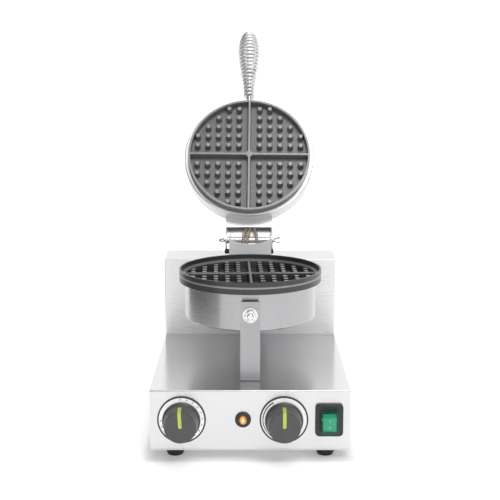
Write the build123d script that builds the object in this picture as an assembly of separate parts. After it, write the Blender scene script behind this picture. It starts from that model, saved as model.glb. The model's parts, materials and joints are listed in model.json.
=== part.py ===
from build123d import *
import math
import os

# Round waffle maker, in millimetres. X runs to the right, Y from the front to the rear, Z up.
# While it is built, Y = 0 is the front panel, Z = 0 the lower edge of the case and X = 0 its middle.
# The lid is built closed and is then swung open about the hinge, which is how it rests.

# Case
case_width = 250.0
base_height = 77.5
base_depth = 266.5
housing_depth = 68.5
housing_height = 112.2
case_sheet = 1.0
case_bend = 2.0
lip_width = 12.0
cover_inset = 1.5
vent_length = 46.0
vent_width = 4.0
vent_pitch = 10.0
vent_rows = 5
wire_hole_radius = 12.0

# Feet and case screws
foot_radius = 11.6
foot_tip_radius = 9.6
foot_height = 11.2
foot_taper_from = 6.6
foot_edge = 1.2
foot_spacing = 190.0
foot_front_y = 20.0
foot_rear_y = 315.0
foot_recess_depth = 5.0
case_screw_radius = 2.0
case_screw_length = 6.0
screw_clearance = 0.15

# Irons
iron_y = 132.0
iron_plane_z = 198.4
lid_gap = 0.4
rim_radius = 94.6
rim_wall = 2.3
rim_rise = 6.6
rim_drop = 8.8
rim_draft = 0.4
ring_radius = 90.0
ring_wall = 2.9
ring_height = 10.5
field_radius = 87.0
field_depth = 10.5
lower_field_draft = 12.0
lid_field_draft = 5.0
field_bite = 0.3
floor_thickness = 10.0
flange_thickness = 4.5
waist_margin = 10.0
stud_pitch = 15.25
stud_top = 5.8
stud_drop = 1.0
stud_draft = 10.0
stud_corner = 1.6
stud_bevel = 0.3
studs_per_row = 5
stud_reach = 82.5
rib_top = 2.8
rib_draft = 8.0
rib_cross = 9.2
lower_plate_yaw = 1.6
lid_plate_yaw = 0.6

# Drums
drum_sheet = 1.0
drum_bend = 2.0
lower_drum_radius = 87.0
lower_drum_base_z = 140.6
lid_drum_radius = 94.2
lid_drum_height = 30.2
lid_bead_radius = 95.6
lid_bead_height = 4.0
lid_bead_slope = 1.0
lid_cover_skirt = 5.0
fit_gap = 0.3

# Heaters
heater_ring_radius = 58.0
heater_radius = 4.0
heater_gap_angle = 22.0
heater_tail_radius = 3.0
heater_tail_length = 11.5
groove_depth = 5.5
clamp_radius = 72.0
clamp_thickness = 2.0
clamp_screw_circle = 35.0
clamp_screw_radius = 2.5
clamp_screw_length = 9.0
clamp_screw_count = 3
boss_radius = 8.0
boss_height = 7.0
tie_bolt_radius = 3.0
tie_bolt_bite = 9.0
pad_radius = 76.0
lower_pad_thickness = 16.0
lid_pad_thickness = 6.5
pad_to_cover = 0.3

# Thermostat probe
bulb_radius = 3.0
bulb_length = 56.0
bulb_offset = 15.0
capillary_radius = 1.0
capillary_x = 5.0
capillary_bend = 14.0

# Front support
strap_width = 25.0
strap_thickness = 3.0
strap_y = 36.6
strap_top_z = 181.0
strap_foot = 26.0
strap_bend = 3.0
strap_corner = 2.0
strap_bolt_z = 164.0
strap_bolt_radius = 4.0
strap_bolt_tip = 3.6
nut_width = 13.0
nut_thickness = 6.5
washer_radius = 9.6
washer_thickness = 1.6
spacer_radius = 7.0
bracket_screw_radius = 2.5
bracket_screw_length = 7.0

# Hinge
hinge_y = 261.6
hinge_z = 218.9
lid_swing = 122.7
cheek_outside = 60.0
cheek_thickness = 2.0
cheek_ear_radius = 9.0
arm_bottom_z = 150.0
arm_top_z = 186.0
throat_y = 236.0
throat_corner_z = 225.3
throat_dip = 7.9
back_plate_bottom_z = 108.0
rear_bolt_radius = 3.0
rear_bolt_spacing = 28.0
rear_bolt_z = 158.0
sleeve_radius = 5.0
sleeve_wall = 1.9
sleeve_proud = 0.7
running_gap = 0.05
split_pin_gap = 0.1
split_pin_wire = 1.45
split_pin_eye = 3.4
split_pin_eye_tilt = 16.0
split_pin_leg = 9.0
split_pin_proud = 1.6
split_pin_slit = 0.3
split_pin_root = 3.0
split_pin_spread = 2.4
ear_gap = 2.0
lid_side_play = 1.6
ear_thickness = 2.0
ear_radius = 11.0
web_thickness = 2.5
web_end = 12.0
web_overlap = 22.0
mouth_height = 9.0
mouth_start = 24.6
mouth_plate = 2.0
web_screw_inset = 13.0
web_screw_spacing = 22.0
stop_rod_radius = 2.5
stop_sleeve_wall = 1.0
stop_sleeve_gap = 0.1
stop_sleeve_proud = 0.9
stop_rod_proud = 1.4
stop_forward = 2.8
stop_below = 15.8
stop_gap = 0.2
finger_width = 9.0
finger_reach = 21.0

# Conduits across the hinge
conduit_radius = 2.2
conduit_foot_x = (-10.6, -4.9, 10.1)
conduit_head_x = (-3.0, 2.1, 7.2)

# Handle
handle_rise = 6.0
collar_radius = 8.4
collar_length = 5.0
rod_radius = 3.5
rod_head_radius = 9.0
rod_head_thickness = 2.5
rod_head_at = 112.0
handle_nut_thickness = 5.0
coil_wire = 4.0
coil_pitch = 6.1
coil_root_radius = 6.5
coil_belly_radius = 15.3
coil_belly_at = 96.0
coil_dome = 34.5
coil_tip_radius = 6.2
coil_end_ahead = 4.9
coil_end_inward = 5.4
coil_end_drop = 4.9
coil_start = 14.5
coil_lead_angle = 52.0

# Controls
dial_z = 39.6
timer_x = -85.5
thermostat_x = 42.0
dial_radius = 30.3
dial_thickness = 1.2
dial_border = 2.0
dial_border_rise = 0.4
knob_gap = 2.0
knob_depth = 28.2
knob_skirt_radius = 23.8
knob_skirt_depth = 3.6
knob_neck_radius = 22.0
knob_face_radius = 19.7
knob_edge = 1.2
knob_bore_depth = 15.0
pointer_width = 4.2
pointer_depth = 0.8
pointer_inner = -0.6
pointer_side_length = 15.6
timer_rest_turn = 3.0
shaft_radius = 3.0
shaft_seat = 10.0
timer_body_radius = 21.0
timer_body_depth = 34.0
thermostat_body_width = 44.0
thermostat_body_height = 34.0
thermostat_body_depth = 24.0
lamp_x = -9.0
lamp_z = 39.7
lamp_radius = 10.0
lamp_flange = 3.2
lamp_recess_radius = 6.6
lamp_recess_depth = 2.4
lamp_lens_radius = 5.6
lamp_lens_rise = 1.6
lamp_barrel_radius = 6.2
lamp_barrel_length = 24.0
switch_x = 98.3
switch_z = 39.5
switch_width = 34.8
switch_height = 41.8
switch_corner = 5.2
switch_depth = 4.5
switch_body_width = 22.0
switch_body_height = 30.0
switch_body_depth = 25.0
boot_width = 24.0
boot_height = 28.0
boot_front_width = 21.6
boot_front_height = 26.8
boot_rise = 13.0
boot_wall = 1.0
rocker_width = 16.0
rocker_height = 18.0
rocker_thickness = 12.6
rocker_swing = 16.0
rocker_pivot_y = -1.0
rocker_dish = 0.8
rocker_side_gap = 1.5
rocker_end_gap = 2.0
rocker_floor_gap = 3.6
rocker_pin_radius = 1.5
rocker_pin_end = 10.2
rocker_pin_end_gap = 0.2

# Wiring side
terminal_x = 60.0
terminal_y = 290.0
terminal_length = 44.0
terminal_width = 18.0
terminal_height = 16.0
gland_x = 92.0
gland_z = 36.0
gland_radius = 11.0
gland_neck_radius = 7.9
gland_bore_radius = 3.9
gland_outside = 9.0
gland_inside = 9.0

# Values that follow from the ones above
case_depth = base_depth + housing_depth
case_top = base_height + housing_height
half_case = case_width / 2
lid_plane_z = iron_plane_z + lid_gap
rim_inner = rim_radius - rim_wall
plate_underside = -field_depth - floor_thickness
clamp_top = plate_underside - heater_radius + groove_depth - heater_radius
lower_drum_top_z = iron_plane_z - rim_drop
lid_drum_end = -ring_height - lid_drum_height
lid_top_z = lid_plane_z - lid_drum_end
ear_inner = cheek_outside / 2 + ear_gap
ear_outer = ear_inner + ear_thickness
lid_left_x = -ear_outer - lid_side_play
lid_right_x = ear_outer - lid_side_play
drum_front_y = iron_y - lower_drum_radius
drum_rear_y = iron_y + lower_drum_radius
handle_z = hinge_z + handle_rise


def block(x0, x1, y0, y1, z0, z1):
    """A box between two corners."""
    return Pos((x0 + x1) / 2, (y0 + y1) / 2, (z0 + z1) / 2) * Box(x1 - x0, y1 - y0, z1 - z0)


def bar_x(radius, x0, x1, y, z):
    """A round bar along X."""
    return Pos((x0 + x1) / 2, y, z) * Rot(0, 90, 0) * Cylinder(radius, x1 - x0)


def bar_y(radius, y0, y1, x, z):
    """A round bar along Y."""
    return Pos(x, (y0 + y1) / 2, z) * Rot(90, 0, 0) * Cylinder(radius, y1 - y0)


def bar_z(radius, z0, z1, x=0.0, y=0.0):
    """A round bar along Z."""
    return Pos(x, y, (z0 + z1) / 2) * Cylinder(radius, z1 - z0)


def turned(*points):
    """A solid turned about Z from points given as radius and height."""
    outline = Polyline(*[(radius, 0, height) for radius, height in points], close=True)
    return revolve(make_face(outline), Axis.Z)


def group(pieces):
    """Several separate solids as one node."""
    return Compound([piece.solid() for piece in pieces])


def screw(radius, length, head=None, head_height=None):
    """A pan head screw with a cross slot: the head stands on Z = 0, the shank hangs below."""
    head = head or radius * 1.9
    head_height = head_height or radius * 1.1
    cap = fillet(bar_z(head, 0, head_height).edges().group_by(Axis.Z)[-1], head_height * 0.6)
    slot_length = head * 1.1
    slot_width = head * 0.24
    slot_floor = head_height * 0.45
    cross = block(-slot_length / 2, slot_length / 2, -slot_width / 2, slot_width / 2, slot_floor, head_height)
    cap -= cross
    cap -= Rot(0, 0, 90) * cross
    return cap + bar_z(radius, -length, 0)


def hexagon_nut(width, thickness, bore):
    """A hexagon nut on Z = 0 with its corners turned off at the top."""
    body = extrude(RegularPolygon(width / 2, 6, major_radius=False), thickness)
    corner = width / 2 / math.cos(math.pi / 6)
    crown = turned((0, 0), (corner, 0), (corner, thickness * 0.86), (width / 2 * 0.96, thickness), (0, thickness))
    return (body & crown) - bar_z(bore, -1, thickness + 1)


def bent_path(points, radii):
    """Straight runs through the points, with each corner rounded to its radius."""
    places = [Vector(*point) for point in points]
    edges = []
    start = places[0]
    for before, corner, after, radius in zip(places, places[1:], places[2:], radii):
        into = (corner - before).normalized()
        out = (after - corner).normalized()
        half_turn = math.radians(into.get_angle(out)) / 2
        reach = radius * math.tan(half_turn)
        inward = (out - into).normalized()
        middle = corner + inward * (radius / math.cos(half_turn) - radius)
        arc_start = corner - into * reach
        arc_end = corner + out * reach
        edges.append(Edge.make_line(start, arc_start))
        edges.append(Edge.make_three_point_arc(arc_start, middle, arc_end))
        start = arc_end
    edges.append(Edge.make_line(start, places[-1]))
    return Wire(edges)


def tube(path, radius):
    """A round wire along a path."""
    section = Plane(origin=path @ 0, z_dir=path % 0) * Circle(radius)
    return sweep(section, path=path)


# Case

def folded_box(y0, y1, z0, z1, bottom_edges):
    """A hollow sheet box whose folds are round, apart from those of its rear face."""
    def body(inset, radius):
        solid = block(-half_case + inset, half_case - inset, y0 + inset, y1 - inset, z0 + inset, z1 - inset)
        keep = solid.edges().filter_by(lambda edge: edge.center().Y < y1 - inset - 1e-6)
        if not bottom_edges:
            keep = keep.filter_by(lambda edge: edge.center().Z > z0 + inset + 1e-6)
        return fillet(keep, radius)
    return body(0, case_bend) - body(case_sheet, case_bend - case_sheet)


def foot_places():
    half = foot_spacing / 2
    return [(-half, foot_front_y), (half, foot_front_y), (-half, foot_rear_y), (half, foot_rear_y)]


def base_shell():
    shell = folded_box(0, case_depth, 0, base_height, True)
    inner = half_case - lip_width
    shell -= block(-inner, inner, lip_width, case_depth - lip_width, -1, case_sheet * 2)
    shell -= block(-inner, inner, case_depth - case_sheet * 2, case_depth + 1, lip_width, base_height - lip_width)
    for x in (timer_x, thermostat_x):
        shell -= bar_y(shaft_radius + 1, -1, case_sheet + 1, x, dial_z)
    shell -= bar_y(lamp_barrel_radius + screw_clearance, -1, case_sheet + 1, lamp_x, lamp_z)
    cut_width = switch_body_width / 2 + screw_clearance
    cut_height = switch_body_height / 2 + screw_clearance
    shell -= block(switch_x - cut_width, switch_x + cut_width, -1, case_sheet + 1,
                   switch_z - cut_height, switch_z + cut_height)
    shell -= bar_z(wire_hole_radius, base_height - 2, base_height + 1, 0, base_depth + housing_depth / 2)
    for x in strap_screw_xs():
        shell -= bar_z(bracket_screw_radius + screw_clearance, base_height - 2, base_height + 1, x, strap_screw_y())
    for x, z in cover_screw_places():
        if z < base_height:
            shell -= bar_y(case_screw_radius + screw_clearance, case_depth - 2, case_depth + 1, x, z)
    for x, y in bottom_screw_places():
        shell -= bar_z(case_screw_radius + screw_clearance, -1, 2, x, y)
    return shell


def rear_housing():
    shell = folded_box(base_depth, case_depth, base_height, case_top, False)
    inner = half_case - lip_width
    floor = half_case - case_sheet
    shell -= block(-floor, floor, base_depth + case_sheet, case_depth - case_sheet, base_height - 1,
                   base_height + case_sheet * 2)
    shell -= block(-inner, inner, case_depth - case_sheet * 2, case_depth + 1, base_height + lip_width,
                   case_top - lip_width)
    shell -= bar_y(wire_hole_radius, base_depth - 1, base_depth + 2, 0, arm_middle_z())
    for x, z in bracket_screw_places():
        shell -= bar_y(bracket_screw_radius + screw_clearance, base_depth - 1, base_depth + 2, x, z)
    for x, z in cover_screw_places():
        if z > base_height:
            shell -= bar_y(case_screw_radius + screw_clearance, case_depth - 2, case_depth + 1, x, z)
    return shell


def cover_screw_places():
    x = half_case - lip_width / 2
    return [(side * x, z) for side in (-1, 1) for z in (lip_width, base_height - lip_width, case_top - lip_width)]


def bottom_screw_places():
    x = half_case - lip_width / 2 - case_sheet
    return [(side * x, y) for side in (-1, 1) for y in (foot_front_y * 2.4, iron_y, case_depth - foot_front_y * 3)]


def vents(middle_x, middle_y):
    """A block of rounded slots in the XY plane."""
    slot = extrude(SlotOverall(vent_length, vent_width), 6, both=True)
    rows = [(row - (vent_rows - 1) / 2) * vent_pitch for row in range(vent_rows)]
    return [Pos(middle_x, middle_y + row, 0) * slot for row in rows]


def bottom_plate():
    edge = half_case - cover_inset
    plate = block(-edge, edge, cover_inset, case_depth - cover_inset, -case_sheet, 0)
    for x in (-case_width / 5, case_width / 5):
        for slot in vents(x, iron_y):
            plate -= slot
    for x, y in foot_places():
        plate -= bar_z(case_screw_radius + screw_clearance, -2, 1, x, y)
    for x, y in bottom_screw_places():
        plate -= bar_z(case_screw_radius + screw_clearance, -2, 1, x, y)
    return plate


def rear_cover():
    edge = half_case - cover_inset
    plate = block(-edge, edge, case_depth, case_depth + case_sheet, cover_inset, case_top - cover_inset)
    for x in (-case_width / 5, case_width / 5):
        for slot in vents(0, 0):
            plate -= Pos(x, case_depth, base_height + housing_height / 2) * Rot(90, 0, 0) * slot
    for x, z in cover_screw_places():
        plate -= bar_y(case_screw_radius + screw_clearance, case_depth - 1, case_depth + 2, x, z)
    plate -= bar_y(gland_neck_radius + screw_clearance, case_depth - 1, case_depth + 2, gland_x, gland_z)
    return plate


def case_screws():
    from_below = [Pos(x, y, -case_sheet) * Rot(180, 0, 0) * screw(case_screw_radius, case_screw_length)
                  for x, y in bottom_screw_places()]
    from_behind = [Pos(x, case_depth + case_sheet, z) * Rot(-90, 0, 0) * screw(case_screw_radius, case_screw_length)
                   for x, z in cover_screw_places()]
    return group(from_below + from_behind)


def foot():
    body = turned((0, 0), (foot_radius, 0), (foot_radius, -foot_taper_from), (foot_tip_radius, -foot_height),
                  (0, -foot_height))
    body = fillet(body.edges().group_by(Axis.Z)[0], foot_edge)
    body -= bar_z(case_screw_radius * 2 + 0.6, -foot_height - 1, -foot_height + foot_recess_depth)
    body -= bar_z(case_screw_radius + screw_clearance, -foot_height, 1)
    return body


def feet():
    return group([Pos(x, y, -case_sheet) * foot() for x, y in foot_places()])


def foot_screws():
    seat = -case_sheet - foot_height + foot_recess_depth
    length = foot_height - foot_recess_depth + case_screw_length
    one = Rot(180, 0, 0) * screw(case_screw_radius, length)
    return group([Pos(x, y, seat) * one for x, y in foot_places()])


# Irons, built with the working plane at Z = 0 and the working side up

def pan_floor_radius(draft):
    return field_radius - field_depth * math.tan(math.radians(draft))


def field_cone(draft):
    """The room of the ribs and studs: the drafted pan and a little of its wall."""
    floor_end = pan_floor_radius(draft) + field_bite
    return turned((0, -field_depth), (floor_end, -field_depth), (field_radius + field_bite, 0), (0, 0))


def stud():
    height = field_depth - stud_drop
    grow = height * math.tan(math.radians(stud_draft))
    foot_width = stud_top + 2 * grow
    low = RectangleRounded(foot_width, foot_width, stud_corner + grow)
    high = Pos(0, 0, height) * RectangleRounded(stud_top, stud_top, stud_corner)
    body = loft([low.face(), high.face()], ruled=True)
    body = chamfer(body.edges().group_by(Axis.Z)[-1], stud_bevel)
    return Pos(0, 0, -field_depth) * body


def rib():
    grow = field_depth * math.tan(math.radians(rib_draft))
    half = rib_top / 2
    outline = Polyline((0, -half, 0), (0, half, 0), (0, half + grow, -field_depth), (0, -half - grow, -field_depth),
                       close=True)
    return Pos(-field_radius, 0, 0) * extrude(make_face(outline), 2 * field_radius, dir=(1, 0, 0))


def waffle_field():
    """Cross ribs and studs."""
    steps = [sign * step for sign in (-1, 1) for step in range(1, studs_per_row + 1)]
    places = [(x * stud_pitch, y * stud_pitch) for x in steps for y in steps]
    places = [(x, y) for x, y in places if math.hypot(x, y) < stud_reach]
    one = stud()
    bar = rib()
    crossing = Pos(0, 0, -field_depth) * Rot(0, 0, 45) * extrude(Rectangle(rib_cross, rib_cross), field_depth)
    raised = [Pos(x, y, 0) * one for x, y in places] + [bar, Rot(0, 0, 90) * bar, crossing]
    return raised[0].fuse(*raised[1:])


def clamp_screw_places():
    turns = [math.radians(90 + 360 * k / clamp_screw_count) for k in range(clamp_screw_count)]
    return [(clamp_screw_circle * math.cos(a), clamp_screw_circle * math.sin(a)) for a in turns]


def plate_back(body):
    """Adds the boss for the tie bolt and cuts the heater groove and the screw holes."""
    body += bar_z(boss_radius, plate_underside - boss_height, plate_underside + 1)
    groove = turned((heater_ring_radius - heater_radius - 0.3, plate_underside - 1),
                    (heater_ring_radius + heater_radius + 0.3, plate_underside - 1),
                    (heater_ring_radius + heater_radius + 0.3, plate_underside + groove_depth),
                    (heater_ring_radius - heater_radius - 0.3, plate_underside + groove_depth))
    body -= groove
    body -= bar_z(tie_bolt_radius + running_gap, plate_underside - boss_height - 1,
                  plate_underside - boss_height + tie_bolt_bite + 1)
    hole_depth = clamp_screw_length - clamp_thickness - (plate_underside - clamp_top) + 1
    for x, y in clamp_screw_places():
        body -= bar_z(clamp_screw_radius + running_gap, plate_underside - 1, plate_underside + hole_depth, x, y)
    return body


def lower_plate(field):
    inside = lower_drum_radius - drum_sheet - fit_gap
    pan_floor = pan_floor_radius(lower_field_draft)
    body = turned((0, -field_depth), (pan_floor, -field_depth), (field_radius, 0), (rim_inner - rim_draft, 0),
                  (rim_inner, rim_rise), (rim_radius, rim_rise), (rim_radius, -rim_drop), (inside, -rim_drop),
                  (inside, plate_underside), (0, plate_underside))
    body = plate_back(body) + (field & field_cone(lower_field_draft))
    return lower_side(body)


def lid_plate(field):
    ring_inner = ring_radius - ring_wall
    inside = lid_drum_radius - drum_sheet - fit_gap
    shoulder = -ring_height - drum_sheet
    waist = clamp_radius + waist_margin
    flange_end = shoulder - flange_thickness
    pan_floor = pan_floor_radius(lid_field_draft)
    body = turned((0, -field_depth), (pan_floor, -field_depth), (min(field_radius, ring_inner), 0), (ring_radius, 0),
                  (ring_radius, shoulder), (inside, shoulder), (inside, flange_end), (waist, flange_end),
                  (waist, plate_underside), (0, plate_underside))
    body = plate_back(body) + (field & field_cone(lid_field_draft))
    return lid_side(body, lid_plate_yaw)


def heater():
    """A tubular element bent to a ring, with its two ends turned down."""
    level = plate_underside + groove_depth - heater_radius
    gap = heater_gap_angle / 2
    ring = CenterArc((0, 0, 0), heater_ring_radius, 270 + gap, 360 - 2 * gap)
    body = sweep(Plane(origin=ring @ 0, z_dir=ring % 0) * Circle(heater_radius), path=ring)
    body = Pos(0, 0, level) * body
    for angle in (270 - gap, 270 + gap):
        turn = math.radians(angle)
        x = heater_ring_radius * math.cos(turn)
        y = heater_ring_radius * math.sin(turn)
        body += Pos(x, y, level) * Sphere(heater_radius)
        body += bar_z(heater_tail_radius, level - heater_tail_length, level, x, y)
    return body


def heater_clamp():
    disc = bar_z(clamp_radius, clamp_top - clamp_thickness, clamp_top)
    disc -= bar_z(boss_radius + 0.6, clamp_top - clamp_thickness - 1, clamp_top + 1)
    for x, y in clamp_screw_places():
        disc -= bar_z(clamp_screw_radius + screw_clearance, clamp_top - 3, clamp_top + 1, x, y)
    for angle in (270 - heater_gap_angle / 2, 270 + heater_gap_angle / 2):
        turn = math.radians(angle)
        disc -= bar_z(heater_tail_radius + 1, clamp_top - 3, clamp_top + 1,
                      heater_ring_radius * math.cos(turn), heater_ring_radius * math.sin(turn))
    return disc


def clamp_screws():
    seat = clamp_top - clamp_thickness
    one = Rot(180, 0, 0) * screw(clamp_screw_radius, clamp_screw_length)
    return group([Pos(x, y, seat) * one for x, y in clamp_screw_places()])


def tie_bolt(outer_face):
    """The bolt that pulls a drum against its plate, from the drum's outer face up into the boss."""
    tip = plate_underside - boss_height + tie_bolt_bite
    one = screw(tie_bolt_radius, tip - outer_face, tie_bolt_radius * 2, tie_bolt_radius * 1.2)
    return Pos(0, 0, outer_face) * Rot(180, 0, 0) * one


def insulation(outer_face, thickness):
    bottom = outer_face + drum_sheet + pad_to_cover
    pad = bar_z(pad_radius, bottom, bottom + thickness)
    return pad - bar_z(tie_bolt_radius + 1, bottom - 1, bottom + thickness + 1)


def lower_side(piece):
    """Places a piece of the lower iron, which sits turned a little in its drum."""
    return Pos(0, iron_y, iron_plane_z) * Rot(0, 0, lower_plate_yaw) * piece


def lid_side(piece, yaw=0.0):
    """Places a piece of the lid, with the lid closed. The lid iron and its heater sit turned a little."""
    return Pos(0, iron_y, lid_plane_z) * Rot(0, 0, yaw) * Rot(0, 180, 0) * piece


# Drums

def lower_drum():
    top = lower_drum_top_z
    outer = bar_z(lower_drum_radius, lower_drum_base_z, top, 0, iron_y)
    outer = fillet(outer.edges().group_by(Axis.Z)[0], drum_bend)
    inner = bar_z(lower_drum_radius - drum_sheet, lower_drum_base_z + drum_sheet, top + 1, 0, iron_y)
    inner = fillet(inner.edges().group_by(Axis.Z)[0], drum_bend - drum_sheet)
    drum = outer - inner
    drum -= bar_z(tie_bolt_radius + screw_clearance, lower_drum_base_z - 1, lower_drum_base_z + 3, 0, iron_y)
    drum -= bar_y(strap_bolt_radius + screw_clearance, drum_front_y - 2, drum_front_y + 4, 0, strap_bolt_z)
    for x in rear_bolt_xs():
        drum -= bar_y(rear_bolt_radius + screw_clearance, drum_rear_y - 6, drum_rear_y + 2, x, rear_bolt_z)
    drum -= bar_y(capillary_radius + 3, drum_rear_y - 6, drum_rear_y + 2, capillary_x, bulb_z())
    return drum


def lid_drum():
    """The band round the lid iron, with a bead and an inturned lip at the mouth."""
    mouth = -ring_height
    inner = lid_drum_radius - drum_sheet
    bead_end = mouth - lid_bead_height
    slope_end = bead_end - lid_bead_slope
    band = turned((ring_radius + fit_gap, mouth), (lid_bead_radius - drum_sheet, mouth),
                  (lid_bead_radius, mouth - drum_sheet), (lid_bead_radius, bead_end), (lid_drum_radius, slope_end),
                  (lid_drum_radius, lid_drum_end + drum_sheet), (inner, lid_drum_end + drum_sheet),
                  (inner, slope_end), (lid_bead_radius - drum_sheet, bead_end),
                  (lid_bead_radius - drum_sheet, mouth - drum_sheet), (ring_radius + fit_gap, mouth - drum_sheet))
    band = lid_side(band)
    band -= bar_y(rod_radius + screw_clearance, iron_y - lid_drum_radius - 1, iron_y - lid_drum_radius + 4, 0, handle_z)
    mouth_middle = lid_top_z - mouth_height / 2
    for x in conduit_head_x:
        band -= bar_y(conduit_radius + fit_gap, iron_y + lid_drum_radius - 4, iron_y + lid_drum_radius + 2, x,
                      mouth_middle)
    return band


def lid_cover():
    outer = lid_drum_radius
    skirt = lid_drum_radius - drum_sheet - fit_gap / 3
    disc = bar_z(outer, lid_drum_end, lid_drum_end + drum_sheet)
    disc = fillet(disc.edges().group_by(Axis.Z)[0], drum_sheet * 0.7)
    top = lid_drum_end + drum_sheet + lid_cover_skirt
    disc += turned((skirt - drum_sheet, lid_drum_end + drum_sheet / 2), (skirt, lid_drum_end + drum_sheet / 2),
                   (skirt, top), (skirt - drum_sheet, top))
    disc -= bar_z(tie_bolt_radius + screw_clearance, lid_drum_end - 1, lid_drum_end + 3)
    cover = lid_side(disc)
    for x in web_screw_xs():
        cover -= bar_z(bracket_screw_radius + screw_clearance, lid_top_z - 3, lid_top_z + 1, x, web_screw_y())
    mouth_middle = lid_top_z - mouth_height / 2
    for x in conduit_head_x:
        cover -= bar_y(conduit_radius + fit_gap, iron_y + lid_drum_radius - 6, iron_y + lid_drum_radius + 2, x,
                       mouth_middle)
    return cover


# Front support

def strap_screw_xs():
    return (-strap_width / 4, strap_width / 4)


def strap_screw_y():
    return strap_y + strap_thickness + strap_foot * 0.55


def front_support():
    edge = strap_width / 2
    rear = strap_y + strap_thickness
    upright = block(-edge, edge, strap_y, rear, base_height, strap_top_z)
    upright = fillet(upright.edges().filter_by(Axis.Y).group_by(Axis.Z)[-1], strap_corner)
    foot_plate = block(-edge, edge, strap_y, strap_y + strap_foot, base_height, base_height + strap_thickness)
    strap = upright + foot_plate
    heel = strap.edges().filter_by(Axis.X).group_by(Axis.Z)[0].sort_by(Axis.Y)[0]
    strap = fillet(heel, strap_bend)
    strap -= bar_y(strap_bolt_radius + screw_clearance, strap_y - 1, rear + 1, 0, strap_bolt_z)
    for x in strap_screw_xs():
        strap -= bar_z(bracket_screw_radius + screw_clearance, base_height - 1, base_height + strap_thickness + 1, x,
                       strap_screw_y())
    return strap


def front_spacer():
    start = strap_y + strap_thickness
    tube_body = bar_y(spacer_radius, start, drum_front_y + 1, 0, strap_bolt_z)
    tube_body -= bar_z(lower_drum_radius, 0, case_top, 0, iron_y)
    return tube_body - bar_y(strap_bolt_radius + screw_clearance, start - 1, drum_front_y + 2, 0, strap_bolt_z)


def front_washer():
    washer = bar_y(washer_radius, strap_y - washer_thickness, strap_y, 0, strap_bolt_z)
    return washer - bar_y(strap_bolt_radius + screw_clearance, strap_y - 3, strap_y + 1, 0, strap_bolt_z)


def front_nut():
    face = strap_y - washer_thickness
    return Pos(0, face, strap_bolt_z) * Rot(90, 0, 0) * hexagon_nut(nut_width, nut_thickness,
                                                                     strap_bolt_radius + running_gap)


def inside_face(radius, half_width):
    """How far a flat face of this half width stands off the bottom of a round wall."""
    return radius - math.sqrt(radius ** 2 - half_width ** 2)


def front_bolt():
    corner = nut_width / 2 / math.cos(math.pi / 6)
    seat = drum_front_y + drum_sheet + inside_face(lower_drum_radius - drum_sheet, corner)
    tip = strap_y - washer_thickness - nut_thickness - strap_bolt_tip
    head = Pos(0, seat, strap_bolt_z) * Rot(-90, 0, 0) * extrude(
        RegularPolygon(nut_width / 2, 6, major_radius=False), strap_bolt_radius * 1.3)
    shank = bar_y(strap_bolt_radius, tip, seat, 0, strap_bolt_z)
    shank = chamfer(shank.edges().group_by(Axis.Y)[0], 0.8)
    return head + shank


# Hinge

def arm_middle_z():
    return (arm_bottom_z + arm_top_z) / 2


def bracket_screw_places():
    x = cheek_outside / 2 - 10
    return [(side * x, z) for side in (-1, 1) for z in (back_plate_bottom_z + 8, arm_bottom_z - 8)]


def rear_bolt_xs():
    return (-rear_bolt_spacing / 2, rear_bolt_spacing / 2)


def yz_plate(points, x0, x1):
    """A flat plate between two X values, from points given as Y and Z."""
    outline = Polyline(*[(x0, y, z) for y, z in points], close=True)
    return extrude(make_face(outline), x1 - x0, dir=(1, 0, 0))


def cheek(x0):
    x1 = x0 + cheek_thickness
    outline = [(iron_y, arm_bottom_z), (base_depth, arm_bottom_z), (base_depth, hinge_z),
               (hinge_y, hinge_z + cheek_ear_radius * 0.7), (throat_y, throat_corner_z), (throat_y, arm_top_z),
               (iron_y, arm_top_z)]
    plate = yz_plate(outline, x0, x1) + bar_x(cheek_ear_radius, x0, x1, hinge_y, hinge_z)
    plate -= bar_z(lower_drum_radius + 0.05, 0, case_top * 2, 0, iron_y)
    plate -= bar_x(sleeve_radius, x0 - 1, x1 + 1, hinge_y, hinge_z)
    return plate - bar_x(stop_rod_radius, x0 - 1, x1 + 1, hinge_y - stop_forward, hinge_z - stop_below)


def throat_plate():
    """The front plate of the bracket, its upper edge hollowed for the conduits."""
    half = cheek_outside / 2
    low = throat_corner_z - throat_dip
    arc = ThreePointArc((-half, 0, throat_corner_z), (0, 0, low), (half, 0, throat_corner_z))
    lines = Polyline((half, 0, throat_corner_z), (half, 0, arm_top_z - cheek_thickness),
                     (-half, 0, arm_top_z - cheek_thickness), (-half, 0, throat_corner_z))
    return Pos(0, throat_y, 0) * extrude(make_face([arc, lines]), cheek_thickness, dir=(0, 1, 0))


def hinge_base_bracket():
    half = cheek_outside / 2
    t = cheek_thickness
    body = cheek(half - t) + cheek(-half) + throat_plate()
    body += block(-half, half, iron_y, throat_y + t, arm_top_z - t, arm_top_z)
    body += block(-half, half, iron_y, base_depth, arm_bottom_z, arm_bottom_z + t)
    body += block(-half, half, base_depth - t, base_depth, back_plate_bottom_z, case_top - t)
    body += block(-half, half, drum_rear_y + 0.1, drum_rear_y + 0.1 + t, arm_bottom_z, arm_top_z)
    body -= bar_z(lower_drum_radius + 0.05, 0, case_top * 2, 0, iron_y)
    body -= bar_y(wire_hole_radius, base_depth - t - 1, base_depth + 1, 0, arm_middle_z())
    body -= bar_y(capillary_radius + 3, drum_rear_y - 1, drum_rear_y + t + 1, capillary_x, bulb_z())
    for x, z in bracket_screw_places():
        body -= bar_y(bracket_screw_radius + screw_clearance, base_depth - t - 1, base_depth + 1, x, z)
    for x in rear_bolt_xs():
        body -= bar_y(rear_bolt_radius + screw_clearance, drum_rear_y - 4, drum_rear_y + t + 1, x, rear_bolt_z)
    return body


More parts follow.
